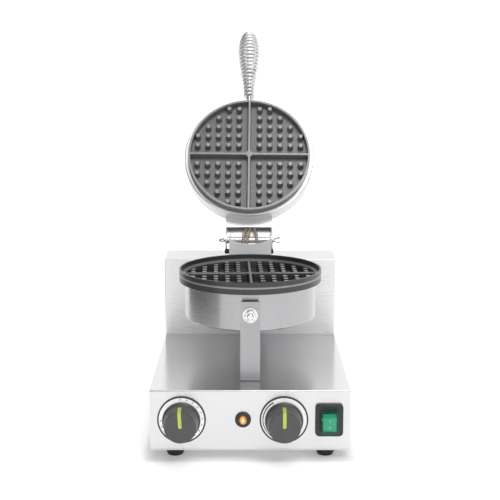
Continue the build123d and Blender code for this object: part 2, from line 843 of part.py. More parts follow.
def rear_bolts():
    """Screws from inside the lower drum into the rear bracket, with their nuts fixed on the plate."""
    wall = lower_drum_radius - drum_sheet
    bolts = []
    for x in rear_bolt_xs():
        head = rear_bolt_radius * 1.9
        reach = math.sqrt(wall ** 2 - (abs(x) + head) ** 2)
        seat = iron_y + reach
        one = screw(rear_bolt_radius, drum_rear_y + cheek_thickness + 6 - seat)
        bolts.append(Pos(x, seat, rear_bolt_z) * Rot(90, 0, 0) * one)
    return group(bolts)


def bracket_screws():
    """Screws of the strap's foot and of the rear bracket's back plate."""
    one = screw(bracket_screw_radius, bracket_screw_length)
    down = [Pos(x, strap_screw_y(), base_height + strap_thickness) * one for x in strap_screw_xs()]
    back = [Pos(x, base_depth - cheek_thickness, z) * Rot(90, 0, 0) * one for x, z in bracket_screw_places()]
    return group(down + back)


def hinge_sleeve():
    left = lid_left_x - sleeve_proud
    right = lid_right_x + sleeve_proud
    body = bar_x(sleeve_radius, left, right, hinge_y, hinge_z)
    return body - bar_x(sleeve_radius - sleeve_wall, left - 1, right + 1, hinge_y, hinge_z)


def split_pin():
    """A long split pin: an eye at the left and two spread legs at the right."""
    shank_radius = sleeve_radius - sleeve_wall - split_pin_gap
    left = lid_left_x - split_pin_proud
    right = lid_right_x + split_pin_proud
    slit = split_pin_slit / 2
    shank = bar_x(shank_radius, left, right, 0, 0)
    shank -= block(left + split_pin_root, right + 1, -shank_radius, shank_radius, -slit, slit)
    eye = Pos(left - split_pin_eye, 0, 0) * Rot(split_pin_eye_tilt, 0, 0) * Torus(split_pin_eye, split_pin_wire)
    body = shank + eye
    for side in (-1, 1):
        middle_z = side * shank_radius / 2
        start = (right - split_pin_root, 0, middle_z)
        bend = (right + 1, 0, middle_z)
        tip = (right + split_pin_leg, 0, middle_z + side * split_pin_spread)
        body += tube(bent_path([start, bend, tip], [split_pin_wire * 3]), split_pin_wire)
    return Pos(0, hinge_y, hinge_z) * body


def stop_rod():
    return bar_x(stop_rod_radius, lid_left_x - stop_rod_proud, lid_right_x + stop_rod_proud, hinge_y - stop_forward,
                 hinge_z - stop_below)


def stop_sleeves():
    outer = stop_rod_radius + stop_sleeve_wall
    y = hinge_y - stop_forward
    z = hinge_z - stop_below
    near = cheek_outside / 2 + stop_sleeve_gap
    rings = []
    for x0, x1 in ((lid_left_x - stop_sleeve_proud, -near), (near, lid_right_x + stop_sleeve_proud)):
        rings.append(bar_x(outer, x0, x1, y, z) - bar_x(stop_rod_radius, x0 - 1, x1 + 1, y, z))
    return group(rings)


def web_screw_xs():
    return (-web_screw_spacing, 0, web_screw_spacing)


def web_front_y():
    return iron_y + lid_drum_radius - web_overlap


def web_screw_y():
    return web_front_y() + web_screw_inset - 5


def lid_ear(x0):
    """One side of the lid bracket: it rounds the hinge and ends in a finger that meets the stop."""
    x1 = x0 + ear_thickness
    top = lid_top_z - hinge_z + web_thickness
    mouth_bottom = lid_top_z - hinge_z - mouth_height - mouth_plate
    corner = ear_radius * 0.72
    outline = [(web_front_y(), top), (hinge_y - web_end, top), (hinge_y + ear_radius * 0.8, corner),
               (hinge_y + corner, -corner), (hinge_y - corner, -corner), (hinge_y - mouth_start, mouth_bottom),
               (web_front_y(), mouth_bottom)]
    ear = yz_plate([(y, z + hinge_z) for y, z in outline], x0, x1)
    ear += bar_x(ear_radius, x0, x1, hinge_y, hinge_z)
    front = hinge_y - stop_forward + stop_rod_radius + stop_sleeve_wall + stop_gap
    finger = block(x0, x1, front, front + finger_width, hinge_z - finger_reach, hinge_z)
    finger = fillet(finger.edges().filter_by(Axis.X).group_by(Axis.Z)[0], 2)
    ear += swung(finger, lid_swing)
    ear -= bar_z(lid_drum_radius + 0.05, 0, lid_top_z, 0, iron_y)
    return ear - bar_x(sleeve_radius + running_gap, x0 - 1, x1 + 1, hinge_y, hinge_z)


def swung(piece, angle):
    """Turns a piece about the hinge."""
    return Pos(0, hinge_y, hinge_z) * Rot(angle, 0, 0) * Pos(0, -hinge_y, -hinge_z) * piece


def lid_bracket():
    bottom = lid_top_z - mouth_height - mouth_plate
    body = lid_ear(ear_inner) + lid_ear(-ear_outer)
    body += block(-ear_outer, ear_outer, web_front_y(), hinge_y - web_end, lid_top_z, lid_top_z + web_thickness)
    mouth = block(-ear_inner, ear_inner, iron_y, hinge_y - mouth_start, bottom, bottom + mouth_plate)
    body += mouth - bar_z(lid_drum_radius + 0.05, 0, lid_top_z, 0, iron_y)
    for x in web_screw_xs():
        body -= bar_z(bracket_screw_radius + screw_clearance, lid_top_z - 1, lid_top_z + web_thickness + 1, x,
                      web_screw_y())
    return body


def lid_bracket_screws():
    one = screw(bracket_screw_radius, bracket_screw_length)
    return group([Pos(x, web_screw_y(), lid_top_z + web_thickness) * one for x in web_screw_xs()])


def conduits():
    """Three braided tubes that lead the heater wires from the bracket up into the open lid."""
    along = Vector(0, -math.cos(math.radians(lid_swing)), math.sin(math.radians(lid_swing)))
    mouth_middle = lid_top_z - mouth_height / 2 - hinge_z
    lift = Vector(0, along.Z, -along.Y) * mouth_middle
    wall = hinge_y - iron_y - lid_drum_radius
    entry = Vector(0, hinge_y, hinge_z) + lift + along * (wall - 0.5)
    rest = throat_y + cheek_thickness + conduit_radius + 3
    over = hinge_z + sleeve_radius + conduit_radius + 5
    tubes = []
    for foot_x, head_x in zip(conduit_foot_x, conduit_head_x):
        lean = (head_x - lid_side_play - foot_x) / 4
        points = [(foot_x, rest + 1, arm_top_z - 8), (foot_x, rest, hinge_z + 1.5), (foot_x + lean, rest + 9, over),
                  (foot_x + 2 * lean, rest + 24, over - 1), (foot_x + 3 * lean, entry.Y - 11, entry.Z - 13),
                  (foot_x + 4 * lean, entry.Y, entry.Z)]
        radii = [bend_radius(points, corner) for corner in range(1, len(points) - 1)]
        print("conduit bend radii", [round(radius, 1) for radius in radii])
        tubes.append(tube(bent_path(points, radii), conduit_radius))
    return group(tubes)


def bend_radius(points, corner):
    """The largest arc that two runs leave room for, a little under half the shorter one each."""
    before, here, after = [Vector(*points[corner + step]) for step in (-1, 0, 1)]
    turn = math.radians((here - before).get_angle(after - here))
    return 0.45 * min((here - before).length, (after - here).length) / math.tan(turn / 2)


# Thermostat probe

def bulb_z():
    return iron_plane_z + clamp_top - clamp_thickness - bulb_radius


def thermostat_probe():
    """The bulb under the lower heater clamp and its capillary down to the thermostat."""
    z = bulb_z()
    y = iron_y + bulb_offset
    end = bulb_length / 2
    bulb = bar_x(bulb_radius, -end, end, y, z)
    shaft_y = base_depth + housing_depth / 2
    low = dial_z + 6
    points = [(end - 1, y, z), (end + 9, y + 4, z), (capillary_x, drum_rear_y - 14, z), (capillary_x, shaft_y, z),
              (capillary_x, shaft_y, low), (thermostat_x, base_depth * 0.6, low),
              (thermostat_x, case_sheet + thermostat_body_depth, low)]
    radii = [5, 9, capillary_bend, capillary_bend, capillary_bend]
    return bulb + tube(bent_path(points, radii), capillary_radius)


# Handle, built with its root at Z = 0 and its length up

def handle_side(piece):
    """Places a piece of the handle on the closed lid, pointing to the front."""
    return Pos(0, iron_y - lid_drum_radius, handle_z) * Rot(90, 0, 0) * piece


def handle_collar():
    body = bar_z(collar_radius, 0, collar_length)
    body = chamfer(body.edges().group_by(Axis.Z)[-1], 0.8)
    return body - bar_z(rod_radius + running_gap, -1, collar_length + 1)


def handle_rod():
    inner_end = -drum_sheet - handle_nut_thickness - 2
    rod = bar_z(rod_radius, inner_end, rod_head_at)
    head = bar_z(rod_head_radius, rod_head_at, rod_head_at + rod_head_thickness)
    return rod + chamfer(head.edges(), 0.6)


def handle_nut():
    corner = nut_width / 2 / math.cos(math.pi / 6)
    seat = -drum_sheet - inside_face(lid_drum_radius - drum_sheet, corner)
    nut = hexagon_nut(nut_width, handle_nut_thickness, rod_radius + running_gap)
    return Pos(0, 0, seat) * Rot(180, 0, 0) * nut


def coil_profile(step):
    """Height and radius of the coil's centre line: a slow swell, then from step 1 on a round dome."""
    if step <= 1:
        height = coil_start + (coil_belly_at - coil_start) * step
        swell = (1 - math.cos(math.pi * step)) / 2
        return height, coil_root_radius + (coil_belly_radius - coil_root_radius) * swell
    turn = (step - 1) * math.pi / 2
    return coil_belly_at + coil_dome * math.sin(turn), coil_belly_radius * math.cos(turn)


def coil_stations():
    """Quarter turns of the coil, each as its place and direction, evenly spaced along the profile."""
    stations = []
    fine = 0.0005
    travelled = 0.0
    due = 0.0
    step = 0.0
    height, radius = coil_profile(step)
    while radius > coil_tip_radius:
        next_height, next_radius = coil_profile(step + fine)
        run = math.hypot(next_height - height, next_radius - radius)
        if travelled >= due:
            turn = 2 * math.pi * travelled / coil_pitch
            outward = Vector(math.cos(turn), math.sin(turn), 0)
            around = Vector(-math.sin(turn), math.cos(turn), 0)
            slope = outward * ((next_radius - radius) / run) + Vector(0, 0, (next_height - height) / run)
            way = around * (2 * math.pi * radius) + slope * coil_pitch
            stations.append((outward * radius + Vector(0, 0, height), way.normalized()))
            due += coil_pitch / 4
        travelled += run
        step += fine
        height, radius = next_height, next_radius
    return stations


def arc_middle(start, way, end):
    """The middle of the arc that leaves start along way and reaches end."""
    chord = end - start
    side = way - chord * (way.dot(chord) / chord.dot(chord))
    half_turn = math.radians(way.get_angle(chord))
    return (start + end) * 0.5 + side.normalized() * (chord.length / 2 * math.tan(half_turn / 2))


def biarc(start, start_way, end, end_way):
    """Two arcs, each tangent to the other, as (start, middle, end) triples."""
    chord = end - start
    spread = 2 * (1 - start_way.dot(end_way))
    along = chord.dot(start_way + end_way)
    reach = (math.sqrt(along ** 2 + spread * chord.dot(chord)) - along) / spread
    joint = (start + end + (start_way - end_way) * reach) * 0.5
    return [(start, arc_middle(start, start_way, joint), joint),
            (joint, arc_middle(end, end_way * -1, joint), end)]


def arc_radius(start, middle, end):
    sides = [(middle - start).length, (end - middle).length, (end - start).length]
    area = (middle - start).cross(end - start).length / 2
    return sides[0] * sides[1] * sides[2] / (4 * area)


def arc_points(start, middle, end, count=6):
    edge = Edge.make_three_point_arc(start, middle, end)
    return [edge @ (k / count) for k in range(count)]


def handle_coil():
    """One unbroken wire: it stands on the collar, winds up round the rod and ends on the rod's head."""
    stations = coil_stations()
    up = Vector(0, 0, 1)
    first, first_way = stations[0]
    lead = math.radians(-coil_lead_angle)
    foot = Vector(coil_root_radius * math.cos(lead), coil_root_radius * math.sin(lead), collar_length)
    foot_top = foot + up * coil_wire
    last, last_way = stations[-1]
    ahead = Vector(last_way.X, last_way.Y, 0).normalized()
    inward = Vector(-last.X, -last.Y, 0).normalized()
    plunge = last + ahead * coil_end_ahead + inward * coil_end_inward - up * coil_end_drop
    head_top = Vector(plunge.X, plunge.Y, rod_head_at + rod_head_thickness)
    arcs = biarc(foot_top, up, first, first_way)
    for (start, start_way), (end, end_way) in zip(stations, stations[1:]):
        arcs += biarc(start, start_way, end, end_way)
    arcs += biarc(last, last_way, plunge, up * -1)
    edges = [Edge.make_line(foot, foot_top)]
    edges += [Edge.make_three_point_arc(*arc) for arc in arcs]
    edges.append(Edge.make_line(plunge, head_top))
    report_coil(foot, foot_top, arcs, plunge, head_top)
    return tube(Wire(edges), coil_wire / 2)


def report_coil(foot, foot_top, arcs, plunge, head_top):
    """Prints the tightest bend and the least gap between stretches over a third of a turn apart."""
    points = [foot, (foot + foot_top) * 0.5]
    for arc in arcs:
        points += arc_points(*arc)
    points += [plunge, (plunge + head_top) * 0.5, head_top]
    lengths = [0.0]
    for before, after in zip(points, points[1:]):
        lengths.append(lengths[-1] + (after - before).length)
    apart = 2.5 * coil_wire
    least = min((points[i] - points[j]).length
                for i in range(len(points)) for j in range(i) if lengths[i] - lengths[j] > apart)
    print("coil turns", round((len(coil_stations()) - 1) / 4, 1), "tightest bend",
          round(min(arc_radius(*arc) for arc in arcs), 2), "least gap", round(least - coil_wire, 2))


# Controls

def knob_side(piece, x, turn):
    """Places a knob piece in front of its dial, pointing forwards and turned from upright."""
    return Pos(x, -dial_thickness - dial_border_rise - knob_gap, dial_z) * Rot(90, 0, 0) * Rot(0, 0, turn) * piece


def dial(x):
    disc = bar_y(dial_radius, -dial_thickness, 0, x, dial_z)
    border = bar_y(dial_radius, -dial_thickness - dial_border_rise, -dial_thickness / 2, x, dial_z)
    border -= bar_y(dial_radius - dial_border, -dial_thickness - 2, 0, x, dial_z)
    return disc + border - bar_y(shaft_radius + 1, -3, 1, x, dial_z)


def knob_form(inset):
    """The outer form of a knob, or the same form drawn in by an even skin."""
    face = knob_face_radius - inset
    top = knob_depth - inset
    body = turned((0, 0), (knob_skirt_radius - inset, 0), (knob_skirt_radius - inset, knob_skirt_depth),
                  (knob_neck_radius - inset, knob_skirt_depth + 1.5), (face, top), (0, top))
    return fillet(body.edges().group_by(Axis.Z)[-1], max(knob_edge - inset, 0.3))


def pointer_inlay():
    low = knob_depth - pointer_side_length
    window = block(-pointer_width / 2, pointer_width / 2, pointer_inner, knob_skirt_radius, low, knob_depth + 1)
    window = fillet(window.edges().filter_by(Axis.Z).group_by(Axis.Y)[0], pointer_width * 0.45)
    return (knob_form(0) - knob_form(pointer_depth)) & window


def knob():
    body = knob_form(0) - pointer_inlay()
    return body - bar_z(shaft_radius + running_gap, -1, knob_bore_depth)


def shaft():
    """A spindle from its seat inside the body behind the panel to near the end of the knob's bore."""
    back = dial_thickness + dial_border_rise + knob_gap + case_sheet + shaft_seat
    return bar_z(shaft_radius, -back, knob_bore_depth - 0.5)


def timer_body():
    body = bar_y(timer_body_radius, case_sheet, case_sheet + timer_body_depth, timer_x, dial_z)
    return body - bar_y(shaft_radius + running_gap, 0, case_sheet + shaft_seat + 0.5, timer_x, dial_z)


def thermostat_body():
    body = block(thermostat_x - thermostat_body_width / 2, thermostat_x + thermostat_body_width / 2, case_sheet,
                 case_sheet + thermostat_body_depth, dial_z - thermostat_body_height / 2,
                 dial_z + thermostat_body_height / 2)
    body = fillet(body.edges().filter_by(Axis.Y), 3)
    return body - bar_y(shaft_radius + running_gap, 0, case_sheet + shaft_seat + 0.5, thermostat_x, dial_z)


def lamp_bezel():
    """The pilot lamp's housing, with its front face up while it is built."""
    body = bar_z(lamp_radius, 0, lamp_flange)
    body = fillet(body.edges().group_by(Axis.Z)[-1], lamp_flange * 0.5)
    body += bar_z(lamp_barrel_radius, -lamp_barrel_length, 0)
    body -= bar_z(lamp_recess_radius, lamp_flange - lamp_recess_depth, lamp_flange + 1)
    return Pos(lamp_x, 0, lamp_z) * Rot(90, 0, 0) * body


def lamp_lens():
    base = lamp_flange - lamp_recess_depth
    body = bar_z(lamp_lens_radius, base, base + lamp_recess_depth + lamp_lens_rise)
    body = fillet(body.edges().group_by(Axis.Z)[-1], lamp_lens_rise * 0.9)
    return Pos(lamp_x, 0, lamp_z) * Rot(90, 0, 0) * body


def switch_housing():
    """Bezel and body of the switch, moulded in one, with its front face up while it is built."""
    bezel = extrude(RectangleRounded(switch_width, switch_height, switch_corner), switch_depth)
    bezel = fillet(bezel.edges().group_by(Axis.Z)[-1], 1.5)
    body = bezel + block(-switch_body_width / 2, switch_body_width / 2, -switch_body_height / 2,
                         switch_body_height / 2, -switch_body_depth, 1)
    half_width = rocker_width / 2 + rocker_side_gap
    half_height = rocker_height / 2 + rocker_end_gap
    body -= block(-half_width, half_width, -half_height, half_height, -rocker_pivot_y - rocker_floor_gap,
                  switch_depth + 1)
    socket_end = rocker_pin_end + rocker_pin_end_gap
    body -= bar_x(rocker_pin_radius + running_gap, -socket_end, socket_end, 0, -rocker_pivot_y)
    return switch_side(body)


def switch_side(piece):
    return Pos(switch_x, 0, switch_z) * Rot(90, 0, 0) * piece


def boot_form(inset):
    low = extrude(RectangleRounded(boot_width - 2 * inset, boot_height - 2 * inset, 3 - inset), 0.01)
    high = Pos(0, 0, boot_rise - inset) * RectangleRounded(boot_front_width - 2 * inset,
                                                            boot_front_height - 2 * inset, 2.5 - inset)
    return loft([low.faces().sort_by(Axis.Z)[0], high.face()])


def switch_boot():
    """The clear splash cover that stands on the bezel round the rocker."""
    outer = fillet(boot_form(0).edges().group_by(Axis.Z)[-1], 0.8)
    return switch_side(Pos(0, 0, switch_depth) * (outer - boot_form(boot_wall)))


def switch_rocker():
    """The rocker on its two round pins, pressed in at its lower end, as in the off position."""
    half_width = rocker_width / 2
    half_height = rocker_height / 2
    front = -rocker_pivot_y + 1 + rocker_thickness
    back = -rocker_pivot_y - 1
    arc = ThreePointArc((0, -half_height, front), (0, 0, front - rocker_dish), (0, half_height, front))
    lines = Polyline((0, half_height, front), (0, half_height * 0.8, back), (0, -half_height * 0.8, back),
                     (0, -half_height, front))
    body = extrude(make_face([arc, lines]), half_width, both=True, dir=(1, 0, 0))
    body += bar_x(rocker_pin_radius, -rocker_pin_end, rocker_pin_end, 0, -rocker_pivot_y)
    pivot = Pos(0, 0, -rocker_pivot_y)
    body = pivot * Rot(rocker_swing / 2, 0, 0) * pivot.inverse() * body
    return switch_side(body)


# Wiring side

def terminal_block():
    z = base_height
    body = block(terminal_x - terminal_length / 2, terminal_x + terminal_length / 2, terminal_y - terminal_width / 2,
                 terminal_y + terminal_width / 2, z, z + terminal_height)
    ways = 3
    for way in range(ways):
        x = terminal_x + (way - (ways - 1) / 2) * terminal_length / (ways + 0.5)
        body -= bar_z(3, z + terminal_height - 5, z + terminal_height + 1, x, terminal_y)
    return body


def cable_gland():
    face = case_depth + case_sheet
    body = bar_y(gland_radius, face, face + gland_outside, gland_x, gland_z)
    body = fillet(body.edges().group_by(Axis.Y)[-1], 2)
    body += bar_y(gland_neck_radius, case_depth - gland_inside, face, gland_x, gland_z)
    return body - bar_y(gland_bore_radius, case_depth - gland_inside - 1, face + gland_outside + 1, gland_x, gland_z)


def build():
    """Every node by name, with the lid open."""
    lower_face = lower_drum_base_z - iron_plane_z
    field = waffle_field()
    base = {
        "base_shell": base_shell(),
        "bottom_plate": bottom_plate(),
        "rear_housing": rear_housing(),
        "rear_cover": rear_cover(),
        "case_screws": case_screws(),
        "rubber_feet": feet(),
        "foot_screws": foot_screws(),
        "front_support": front_support(),
        "front_support_bolt": front_bolt(),
        "front_support_nut": front_nut(),
        "front_support_washer": front_washer(),
        "front_support_spacer": front_spacer(),
        "bracket_screws": bracket_screws(),
        "lower_drum": lower_drum(),
        "lower_plate": lower_plate(field),
        "lower_heater": lower_side(heater()),
        "lower_heater_clamp": lower_side(heater_clamp()),
        "lower_clamp_screws": lower_side(clamp_screws()),
        "lower_insulation": lower_side(insulation(lower_face, lower_pad_thickness)),
        "lower_tie_bolt": lower_side(tie_bolt(lower_face)),
        "thermostat_probe": thermostat_probe(),
        "hinge_base_bracket": hinge_base_bracket(),
        "drum_rear_screws": rear_bolts(),
        "hinge_sleeve": hinge_sleeve(),
        "hinge_split_pin": split_pin(),
        "stop_rod": stop_rod(),
        "stop_sleeves": stop_sleeves(),
        "hinge_conduits": conduits(),
        "timer_body": timer_body(),
        "timer_dial": dial(timer_x),
        "thermostat_body": thermostat_body(),
        "thermostat_dial": dial(thermostat_x),
        "pilot_lamp_bezel": lamp_bezel(),
        "pilot_lamp_lens": lamp_lens(),
        "switch_housing": switch_housing(),
        "switch_boot": switch_boot(),
        "terminal_block": terminal_block(),
        "cable_gland": cable_gland(),
    }
    knobs = {}
    for name, x, turn in (("timer", timer_x, timer_rest_turn), ("thermostat", thermostat_x, 0)):
        knobs[name + "_knob"] = knob_side(knob(), x, turn)
        knobs[name + "_pointer"] = knob_side(pointer_inlay(), x, turn)
        knobs[name + "_shaft"] = knob_side(shaft(), x, turn)
    rocker = {"switch_rocker": switch_rocker()}
    lid = {
        "lid_drum": lid_drum(),
        "lid_cover": lid_cover(),
        "lid_plate": lid_plate(field),
        "lid_heater": lid_side(heater(), lid_plate_yaw),
        "lid_heater_clamp": lid_side(heater_clamp(), lid_plate_yaw),
        "lid_clamp_screws": lid_side(clamp_screws(), lid_plate_yaw),
        "lid_insulation": lid_side(insulation(lid_drum_end, lid_pad_thickness)),
        "lid_tie_bolt": lid_side(tie_bolt(lid_drum_end)),
        "lid_bracket": lid_bracket(),
        "lid_bracket_screws": lid_bracket_screws(),
        "handle_collar": handle_side(handle_collar()),
        "handle_rod": handle_side(handle_rod()),
        "handle_nut": handle_side(handle_nut()),
        "handle_coil": handle_side(handle_coil()),
    }
    nodes = {**base, **knobs, **rocker}
    for name, piece in lid.items():
        nodes[name] = Pos(-lid_side_play, 0, 0) * swung(piece, -lid_swing)
    return nodes


def floor_shift(nodes):
    """How far everything moves so that the origin is the middle of its footprint, on the floor."""
    boxes = [piece.bounding_box() for piece in nodes.values()]
    x = min(box.min.X for box in boxes) + max(box.max.X for box in boxes)
    y = min(box.min.Y for box in boxes) + max(box.max.Y for box in boxes)
    return Vector(-x / 2, -y / 2, -min(box.min.Z for box in boxes))


nodes = build()
shift = floor_shift(nodes)
os.makedirs("parts", exist_ok=True)
for name, piece in nodes.items():
    export_step(Pos(shift) * piece, "parts/" + name + ".step")
print("shift", round(shift.X, 3), round(shift.Y, 3), round(shift.Z, 3), "nodes", len(nodes))
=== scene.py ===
import json
import math
import bpy
import bmesh
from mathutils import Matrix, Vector
from mathutils.bvhtree import BVHTree


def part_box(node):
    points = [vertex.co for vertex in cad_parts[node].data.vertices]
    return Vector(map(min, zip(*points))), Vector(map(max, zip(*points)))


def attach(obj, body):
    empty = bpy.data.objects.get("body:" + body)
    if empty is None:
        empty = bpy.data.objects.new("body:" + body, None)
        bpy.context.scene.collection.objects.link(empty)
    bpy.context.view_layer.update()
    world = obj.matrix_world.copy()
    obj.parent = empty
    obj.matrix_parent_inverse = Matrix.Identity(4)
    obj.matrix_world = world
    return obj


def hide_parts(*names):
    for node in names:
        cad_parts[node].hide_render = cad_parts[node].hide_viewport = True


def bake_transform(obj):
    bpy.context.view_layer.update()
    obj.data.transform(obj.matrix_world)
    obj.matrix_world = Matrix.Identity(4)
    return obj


# Round waffle maker with its lid open, in metres. X to the right, Y to the rear, Z up.

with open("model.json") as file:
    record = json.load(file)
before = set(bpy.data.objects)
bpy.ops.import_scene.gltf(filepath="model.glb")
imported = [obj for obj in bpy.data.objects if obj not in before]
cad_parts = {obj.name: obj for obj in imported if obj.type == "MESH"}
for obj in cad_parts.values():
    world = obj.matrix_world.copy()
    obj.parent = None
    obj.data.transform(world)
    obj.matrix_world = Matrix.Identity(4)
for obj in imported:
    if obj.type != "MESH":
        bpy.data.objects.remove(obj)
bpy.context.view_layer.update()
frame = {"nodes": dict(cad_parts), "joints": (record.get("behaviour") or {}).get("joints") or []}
nodes = frame["nodes"]
joints = {joint["name"]: joint for joint in frame["joints"]}

# Places read from the frame
case_low, case_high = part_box("base_shell")
front_y = case_low.y
plate_low, plate_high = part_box("lower_plate")
iron_centre = Vector((0, (plate_low.y + plate_high.y) / 2, plate_high.z))
hinge = Vector(joints["lid_hinge"]["pos_m"])
lid_swing = math.radians(joints["lid_hinge"]["range_deg"][1])

# Heights of the worn faces from the top of the lower rim, with the lid closed
lower_worn = (-0.0082, -0.0062)
lid_worn = (-0.0066, -0.0046)

# The photograph's camera, measured from the middle of the case's lower front edge
camera_offset = Vector((-0.00026, -1.3051, 0.5049))
camera_pitch = math.radians(10.862)
camera_lens = 79.2
camera_sensor = 36.0


def middle(node):
    low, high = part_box(node)
    return (low + high) / 2


def half_width(node):
    low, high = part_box(node)
    return (high.x - low.x) / 2


# Shader building blocks

def shader(name, **values):
    """A material with a Principled shader whose even values are set on its own sockets."""
    material = bpy.data.materials.new(name)
    material.use_nodes = True
    principled = material.node_tree.nodes["Principled BSDF"]
    for socket, value in values.items():
        principled.inputs[socket.replace("_", " ")].default_value = value
    return material


def add(tree, kind, links=None, **settings):
    """A node with its settings, and its inputs linked or set."""
    node = tree.nodes.new(kind)
    for key, value in settings.items():
        setattr(node, key, value)
    for socket, value in (links or {}).items():
        if isinstance(value, bpy.types.NodeSocket):
            tree.links.new(value, node.inputs[socket])
        else:
            node.inputs[socket].default_value = value
    return node


def place(tree):
    return add(tree, "ShaderNodeTexCoord").outputs["Object"]


def stretched(tree, vector, scale):
    """Coordinates with a scale for each direction. A pattern is drawn out where the scale is small."""
    return add(tree, "ShaderNodeMapping", {"Vector": vector, "Scale": scale}).outputs["Vector"]


def noise(tree, vector, scale, detail=3.0, roughness=0.5):
    links = {"Vector": vector, "Scale": scale, "Detail": detail, "Roughness": roughness}
    return add(tree, "ShaderNodeTexNoise", links).outputs["Fac"]


def ranged(tree, value, low, high, start=0.3, end=0.7):
    """Maps start and end to low and high. Most of a noise lies between the two given here."""
    links = {"Value": value, "From Min": start, "From Max": end, "To Min": low, "To Max": high}
    return add(tree, "ShaderNodeMapRange", links).outputs["Result"]


def ramp(tree, value, stops):
    """Colours along a value, from pairs of a position and a colour."""
    node = add(tree, "ShaderNodeValToRGB", {"Fac": value})
    elements = node.color_ramp.elements
    while len(elements) < len(stops):
        elements.new(0.5)
    for element, (position, colour) in zip(elements, stops):
        element.position = position
        element.color = (*colour, 1)
    return node.outputs["Color"]


def bump(tree, height, strength, distance):
    links = {"Height": height, "Strength": strength, "Distance": distance}
    return add(tree, "ShaderNodeBump", links).outputs["Normal"]


def math_node(tree, operation, first, second=0.0):
    return add(tree, "ShaderNodeMath", {0: first, 1: second}, operation=operation).outputs["Value"]


def vector_math(tree, operation, first, second=(0, 0, 0)):
    """The result of a vector operation: a number for a length, otherwise a vector."""
    node = add(tree, "ShaderNodeVectorMath", {0: first, 1: second}, operation=operation)
    return node.outputs["Value" if operation == "LENGTH" else "Vector"]


def blended(tree, share, first, second):
    """From one colour to another by a share."""
    links = {"Factor": share, 6: first, 7: (*second, 1)}
    return add(tree, "ShaderNodeMix", links, data_type="RGBA").outputs[2]


def from_middle(tree, node, weights):
    """Distance from the middle of a node, with a weight for each direction."""
    apart = vector_math(tree, "SUBTRACT", place(tree), middle(node))
    return vector_math(tree, "LENGTH", vector_math(tree, "MULTIPLY", apart, weights))


def wire(material, **outputs):
    """Links outputs to the Principled shader's sockets."""
    tree = material.node_tree
    principled = tree.nodes["Principled BSDF"]
    for socket, output in outputs.items():
        tree.links.new(output, principled.inputs[socket.replace("_", " ")])
    return material


def wrapped(tree, centre, swing=0.0):
    """Coordinates round an upright axis: along the turn, outwards and up, all in metres.

    The swing first turns a part of the open lid to where it lies when closed.
    """
    vector = place(tree)
    if swing:
        links = {"Vector": vector, "Center": hinge, "Axis": (1, 0, 0), "Angle": swing}
        vector = add(tree, "ShaderNodeVectorRotate", links).outputs["Vector"]
    moved = add(tree, "ShaderNodeMapping", {"Vector": vector, "Location": -centre}).outputs["Vector"]
    parts = add(tree, "ShaderNodeSeparateXYZ", {"Vector": moved})
    turn = math_node(tree, "ARCTAN2", parts.outputs["Y"], parts.outputs["X"])
    out = vector_math(tree, "LENGTH", vector_math(tree, "MULTIPLY", moved, (1, 1, 0)))
    along = math_node(tree, "MULTIPLY", turn, drum_radius)
    return add(tree, "ShaderNodeCombineXYZ", {0: along, 1: out, 2: parts.outputs["Z"]}).outputs["Vector"]


# Materials

drum_radius = 0.09
steel_grain = (40.0, 2400.0, 2400.0)
dial_grain = (60, 1800, 1800)
felt_fibre = (500, 900, 900)
dial_border = 0.002
dial_border_ink = (0.035, 0.035, 0.037)


def brushed_steel(name, colour=(0.80, 0.80, 0.81), rough=(0.19, 0.23), coordinates=None, smear=0.75,
                  metallic=0.90, top_shade_share=1.0):
    """Stainless sheet: grain along the first coordinate and faint clouds.

    Reflections are drawn out across the grain by the smear. Faces that look up are darkened by painted shade,
    down to the given share of their brightness.
    """
    material = shader(name, Metallic=metallic, Anisotropic=smear, Anisotropic_Rotation=0.25)
    tree = material.node_tree
    vector = coordinates(tree) if coordinates else place(tree)
    grain = noise(tree, stretched(tree, vector, steel_grain), 1.0, 2.0)
    cloud = noise(tree, vector, 9.0, 2.0)
    dark = tuple(part * 0.965 for part in colour)
    outward = add(tree, "ShaderNodeNewGeometry").outputs["Normal"]
    facing = add(tree, "ShaderNodeSeparateXYZ", {"Vector": outward})
    # Painted shade: the more a face looks up, the darker it is painted, down to the given share.
    painted_top_shade = ranged(tree, facing.outputs["Z"], 1.0, top_shade_share, 0.5, 0.9)
    plain = ramp(tree, grain, [(0.25, dark), (0.75, colour)])
    tone = add(tree, "ShaderNodeVectorMath", {0: plain, "Scale": painted_top_shade}, operation="SCALE").outputs["Vector"]
    roughness = math_node(tree, "ADD", ranged(tree, grain, *rough), ranged(tree, cloud, 0.0, 0.03))
    if coordinates:
        along = add(tree, "ShaderNodeTangent", direction_type="RADIAL", axis="Z").outputs["Tangent"]
    else:
        along = add(tree, "ShaderNodeCombineXYZ", {0: 1.0, 1: 0.0, 2: 0.0}).outputs["Vector"]
    normal = bump(tree, grain, 0.08, 0.00001)
    return wire(material, Base_Color=tone, Roughness=roughness, Normal=normal, Tangent=along)


def bright_metal(name, colour, rough=(0.10, 0.20), mottle=260.0):
    """Plated or polished metal with a slight unevenness."""
    material = shader(name, Metallic=1.0)
    tree = material.node_tree
    spots = noise(tree, place(tree), mottle, 3.0)
    dark = tuple(part * 0.88 for part in colour)
    tone = ramp(tree, spots, [(0.3, dark), (0.7, colour)])
    roughness = ranged(tree, spots, rough[1], rough[0])
    return wire(material, Base_Color=tone, Roughness=roughness, Normal=bump(tree, spots, 0.08, 0.0002))


